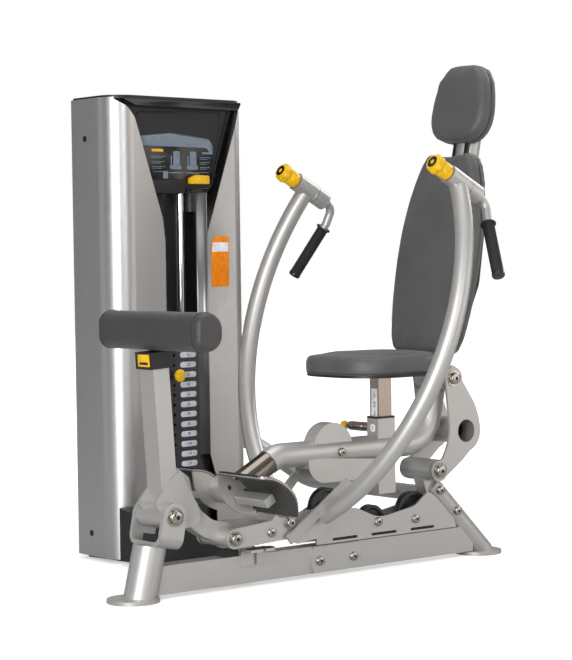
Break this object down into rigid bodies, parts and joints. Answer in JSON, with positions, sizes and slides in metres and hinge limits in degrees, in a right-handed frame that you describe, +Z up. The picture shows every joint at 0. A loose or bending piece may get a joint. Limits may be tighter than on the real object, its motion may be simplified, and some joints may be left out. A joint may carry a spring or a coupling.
{
  "type": "chest press machine",
  "caption": "Plate-stack chest press machine: floor frame with enclosed weight tower, rocking padded seat carriage, curved press arms with swivel grips and a front cushion.",
  "frame": {"origin": "middle of the whole machine on the floor", "axes": "+Z up, +X to the right-hand press arm away from the weight tower, +Y to the rear; the user faces -Y"},
  "size_m": [1.2733, 1.3898, 1.4548],
  "materials": {
    "frame_silver": "satin metallic powder coat",
    "shroud_silver": "satin metallic paint",
    "black_plastic": "textured black",
    "black_steel": "semi-gloss black",
    "chrome": "polished",
    "stainless": "polished stainless",
    "brushed_steel": "brushed",
    "yellow_plastic": "gloss yellow",
    "grip_rubber": "textured rubber",
    "belt_rubber": "smooth black belt",
    "pulley_nylon": "satin black nylon",
    "vinyl": "dark grey upholstery vinyl"
  },
  "bodies": {
    "base": {"base_feet": "frame_silver", "yoke": "frame_silver", "front_post": "frame_silver", "base_rails": "frame_silver", "rail_brackets": "frame_silver", "pulley_side_plates": "frame_silver", "rear_post": "frame_silver", "cross_cover": "black_plastic", "brace_tube": "frame_silver", "left_shroud": "shroud_silver", "right_shroud": "shroud_silver", "back_panel": "shroud_silver", "tower_frame": "black_steel", "top_hood": "black_plastic", "guide_rods": "chrome", "lower_weight_plates": "black_steel", "add_weight": "black_steel", "base_fasteners": "stainless", "rubber_stops": "grip_rubber"},
    "front_arm": {"front_arm_hub": "frame_silver", "front_upright": "frame_silver", "lower_arm": "frame_silver", "pad_collar": "black_plastic", "front_pad": "vinyl"},
    "press_arms": {"crank_plates": "frame_silver", "press_arm_tubes": "frame_silver", "handle_sleeves": "stainless", "arm_fasteners": "stainless"},
    "right_handle": {"right_handle": "frame_silver", "right_grip": "grip_rubber"},
    "left_handle": {"left_handle": "frame_silver", "left_grip": "grip_rubber"},
    "right_knob": {"right_knob": "yellow_plastic"},
    "left_knob": {"left_knob": "yellow_plastic"},
    "arm_pulley": {"arm_pulley": "pulley_nylon"},
    "base_pulley_front": {"base_pulley_front": "pulley_nylon"},
    "base_pulley_rear": {"base_pulley_rear": "pulley_nylon"},
    "top_pulley": {"top_pulley": "pulley_nylon"},
    "rear_links": {"link_plates": "frame_silver", "link_fasteners": "stainless"},
    "carriage": {"carriage_hubs": "frame_silver", "chrome_tube": "stainless", "main_tube": "frame_silver", "tube_housings": "frame_silver", "foot_treads": "frame_silver", "tread_rubbers": "grip_rubber", "tread_brackets": "frame_silver", "seat_sleeve": "frame_silver", "back_pad": "vinyl", "back_board": "black_plastic", "headrest": "vinyl", "carriage_fasteners": "stainless"},
    "seat": {"seat_post": "brushed_steel", "seat_pan": "black_plastic", "seat_pad": "vinyl"},
    "seat_pull_pin": {"seat_pull_pin": "brushed_steel"},
    "stack": {"lifted_weight_plates": "black_steel", "selector_stem": "chrome", "lifting_belt": "belt_rubber"},
    "selector_pin": {"selector_pin": "yellow_plastic"}
  },
  "joints": [
    {"name": "press_arm_swing", "type": "hinge", "parent": "front_arm", "child": "press_arms", "pos_m": [0.18045, -0.34, 0.143], "axis": [1, 0, 0], "range_deg": [0, 9]},
    {"name": "front_arm_swing", "type": "hinge", "parent": "base", "child": "front_arm", "pos_m": [0.18045, -0.537, 0.22], "axis": [1, 0, 0], "range_deg": [0, 3.02]},
    {"name": "rear_link_swing", "type": "hinge", "parent": "base", "child": "rear_links", "pos_m": [0.18045, 0.408, 0.267], "axis": [1, 0, 0], "range_deg": [-5.02, 0]},
    {"name": "carriage_rock", "type": "hinge", "parent": "rear_links", "child": "carriage", "pos_m": [0.18045, 0.467, 0.532], "axis": [1, 0, 0], "range_deg": [-0.2, 0]},
    {"name": "seat_height", "type": "slide", "parent": "carriage", "child": "seat", "axis": [0, 0, 1], "range_m": [-0.1, 0.025]},
    {"name": "seat_pin_pull", "type": "slide", "parent": "carriage", "child": "seat_pull_pin", "axis": [-1, 0, 0], "range_m": [0, 0.012], "stiffness_N_per_m": 900},
    {"name": "right_handle_turn", "type": "hinge", "parent": "press_arms", "child": "right_handle", "pos_m": [0.50695, 0.25686, 1.08724], "axis": [0, 0.8786, -0.4776], "range_deg": [0, 35]},
    {"name": "left_handle_turn", "type": "hinge", "parent": "press_arms", "child": "left_handle", "pos_m": [-0.14605, 0.25686, 1.08724], "axis": [0, 0.8786, -0.4776], "range_deg": [-35, 0]},
    {"name": "right_knob_pull", "type": "slide", "parent": "press_arms", "child": "right_knob", "axis": [0, -0.8786, 0.4776], "range_m": [0, 0.01], "stiffness_N_per_m": 900},
    {"name": "left_knob_pull", "type": "slide", "parent": "press_arms", "child": "left_knob", "axis": [0, -0.8786, 0.4776], "range_m": [0, 0.01], "stiffness_N_per_m": 900},
    {"name": "stack_lift", "type": "slide", "parent": "base", "child": "stack", "axis": [0, 0, 1], "range_m": [0, 0.151], "deforming": ["lifting_belt"]},
    {"name": "selector_pin_pull", "type": "slide", "parent": "stack", "child": "selector_pin", "axis": [0.9936, 0.1132, 0], "range_m": [0, 0.09]},
    {"name": "arm_pulley_spin", "type": "hinge", "parent": "press_arms", "child": "arm_pulley", "pos_m": [0.18045, 0.031, 0.19], "axis": [1, 0, 0], "range_deg": [-180, 180]},
    {"name": "base_pulley_front_spin", "type": "hinge", "parent": "base", "child": "base_pulley_front", "pos_m": [0.18045, 0.198, 0.136], "axis": [1, 0, 0], "range_deg": [-190, 190]},
    {"name": "base_pulley_rear_spin", "type": "hinge", "parent": "base", "child": "base_pulley_rear", "pos_m": [0.18045, 0.357, 0.15], "axis": [1, 0, 0], "range_deg": [-180, 180]},
    {"name": "top_pulley_spin", "type": "hinge", "parent": "base", "child": "top_pulley", "pos_m": [-0.51296, -0.06981, 1.222], "axis": [-0.1132, 0.9936, 0], "range_deg": [-180, 180]}
  ],
  "couplings": [
    {"joint": "front_arm_swing", "follows": "press_arm_swing", "ratio": 0.33333},
    {"joint": "rear_link_swing", "follows": "press_arm_swing", "ratio": -0.5554},
    {"joint": "carriage_rock", "follows": "press_arm_swing", "ratio": -0.02},
    {"joint": "stack_lift", "follows": "press_arm_swing", "m_per_rad": 0.955},
    {"joint": "top_pulley_spin", "follows": "press_arm_swing", "ratio": 18.365},
    {"joint": "base_pulley_front_spin", "follows": "press_arm_swing", "ratio": -20.761},
    {"joint": "base_pulley_rear_spin", "follows": "press_arm_swing", "ratio": 17.054},
    {"joint": "arm_pulley_spin", "follows": "press_arm_swing", "ratio": 8.682}
  ]
}
